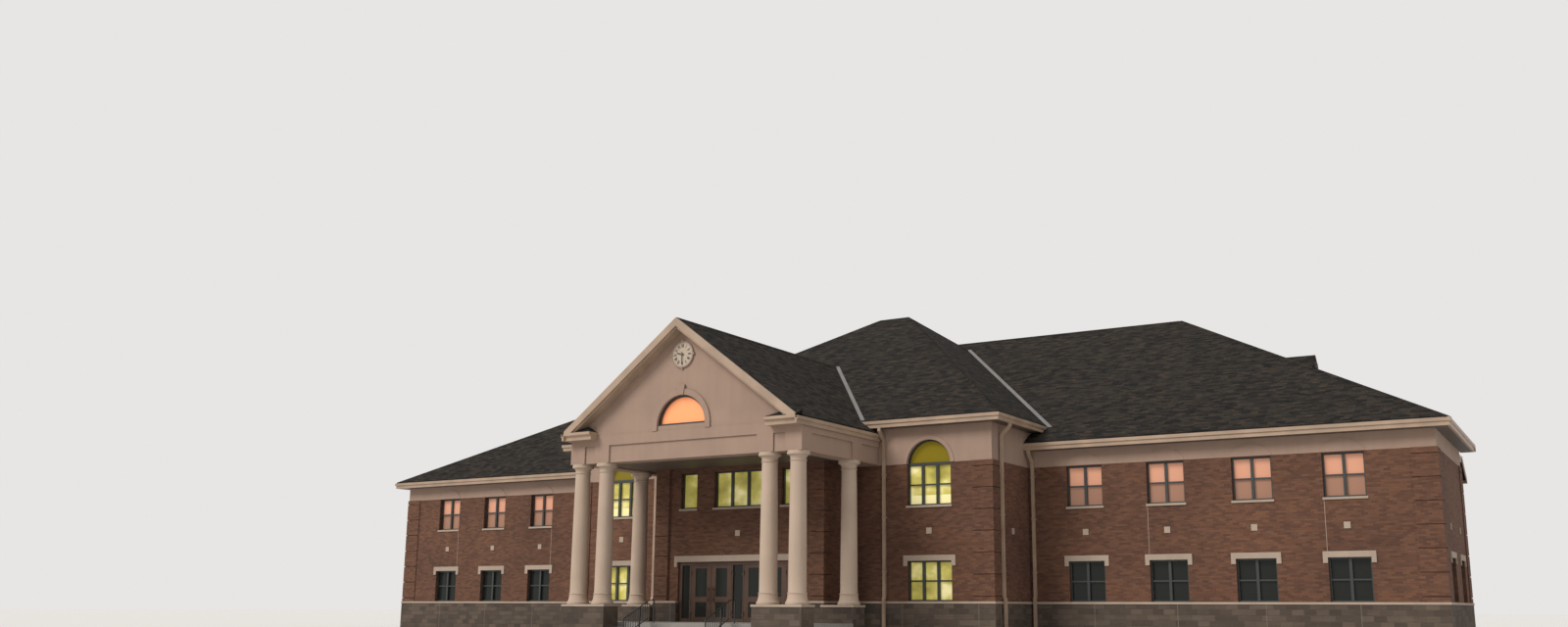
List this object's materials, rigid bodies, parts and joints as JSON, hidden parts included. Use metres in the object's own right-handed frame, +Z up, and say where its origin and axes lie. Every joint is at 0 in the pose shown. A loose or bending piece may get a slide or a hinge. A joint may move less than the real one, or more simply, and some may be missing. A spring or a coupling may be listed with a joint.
{
  "type": "town hall building, 1:2 scale model",
  "caption": "Two-storey brick town hall with hipped shingle roofs, a columned portico, a gable clock that turns and paired entrance doors that open.",
  "frame": {"origin": "centre of the ground rectangle under the whole building, at the level of the lowest ground", "axes": "+X along the front to the right as seen from the entrance side, +Y from the entrance towards the rear, +Z up"},
  "size_m": [24.636, 15.942, 7.4301],
  "materials": {
    "brick": "reddish brown wire-cut brick, matt",
    "split_stone": "grey-brown split-face stone",
    "limestone": "pale smooth limestone",
    "stucco": "tan sand-finish stucco",
    "cast_stone": "cream cast stone",
    "concrete": "plain concrete",
    "shingles": "charcoal and brown asphalt shingles",
    "eave_paint": "tan painted aluminium, satin",
    "soffit_paint": "brown painted soffit panels",
    "flashing": "light grey valley metal",
    "window_frame": "dark green-black painted frames",
    "window_glass": "tinted window glass",
    "door_frame": "brown-bronze anodised frame",
    "rail_metal": "dark painted steel",
    "clock_face": "off-white dial with a dark ring",
    "clock_hands": "black painted metal"
  },
  "bodies": {
    "building": {"stone_base": "split_stone", "base_cap": "limestone", "left_wing_front_wall": "brick", "right_wing_front_wall": "brick", "block_front_walls": "brick", "block_side_walls": "brick", "end_walls": "brick", "recessed_side_walls": "brick", "rear_wall": "brick", "vestibule_front_wall": "brick", "vestibule_side_walls": "brick", "corner_piers": "brick", "wing_frieze": "stucco", "block_frieze": "stucco", "ground_floor": "concrete", "upper_floor": "concrete", "attic_floor": "concrete", "wing_roof": "shingles", "block_roof": "shingles", "portico_roof": "shingles", "roof_vents": "eave_paint", "valley_flashings": "flashing", "rake_boards": "eave_paint", "soffits": "soffit_paint", "gutters": "eave_paint", "downspouts": "eave_paint", "left_portico_columns": "cast_stone", "right_portico_columns": "cast_stone", "portico_pedestals": "split_stone", "pedestal_caps": "limestone", "portico_floor": "concrete", "entrance_steps": "concrete", "handrails": "rail_metal", "portico_entablature": "stucco", "portico_ceiling": "stucco", "tympanum": "stucco", "raking_cornice": "stucco", "cornice_returns": "stucco", "lunette_trim": "limestone", "lunette_frame": "window_frame", "clock_dial": "clock_face", "ground_floor_window_frames": "window_frame", "upper_floor_window_frames": "window_frame", "ground_floor_glass": "window_glass", "upper_floor_glass": "window_glass", "window_sills": "limestone", "window_hoods": "limestone", "entrance_frame": "door_frame", "entrance_glass": "window_glass"},
    "left_outer_leaf": {"left_outer_door": "door_frame", "left_outer_door_glass": "window_glass"},
    "left_inner_leaf": {"left_inner_door": "door_frame", "left_inner_door_glass": "window_glass"},
    "right_inner_leaf": {"right_inner_door": "door_frame", "right_inner_door_glass": "window_glass"},
    "right_outer_leaf": {"right_outer_door": "door_frame", "right_outer_door_glass": "window_glass"},
    "minute_hand": {"clock_minute_hand": "clock_hands"},
    "hour_hand": {"clock_hour_hand": "clock_hands"}
  },
  "joints": [
    {"name": "left_outer_door_hinge", "type": "hinge", "parent": "building", "child": "left_outer_leaf", "pos_m": [-1.0925, -5.728, 0.867], "axis": [0, 0, -1], "range_deg": [0, 90]},
    {"name": "left_inner_door_hinge", "type": "hinge", "parent": "building", "child": "left_inner_leaf", "pos_m": [-0.1425, -5.728, 0.867], "axis": [0, 0, 1], "range_deg": [0, 90]},
    {"name": "right_inner_door_hinge", "type": "hinge", "parent": "building", "child": "right_inner_leaf", "pos_m": [0.1425, -5.728, 0.867], "axis": [0, 0, -1], "range_deg": [0, 90]},
    {"name": "right_outer_door_hinge", "type": "hinge", "parent": "building", "child": "right_outer_leaf", "pos_m": [1.0925, -5.728, 0.867], "axis": [0, 0, 1], "range_deg": [0, 90]},
    {"name": "minute_hand_turn", "type": "hinge", "parent": "building", "child": "minute_hand", "pos_m": [0, -7.646, 5.16], "axis": [0, 1, 0], "continuous": true},
    {"name": "hour_hand_turn", "type": "hinge", "parent": "building", "child": "hour_hand", "pos_m": [0, -7.635, 5.16], "axis": [0, 1, 0], "continuous": true}
  ],
  "couplings": [
    {"joint": "hour_hand_turn", "follows": "minute_hand_turn", "ratio": 0.083333}
  ]
}
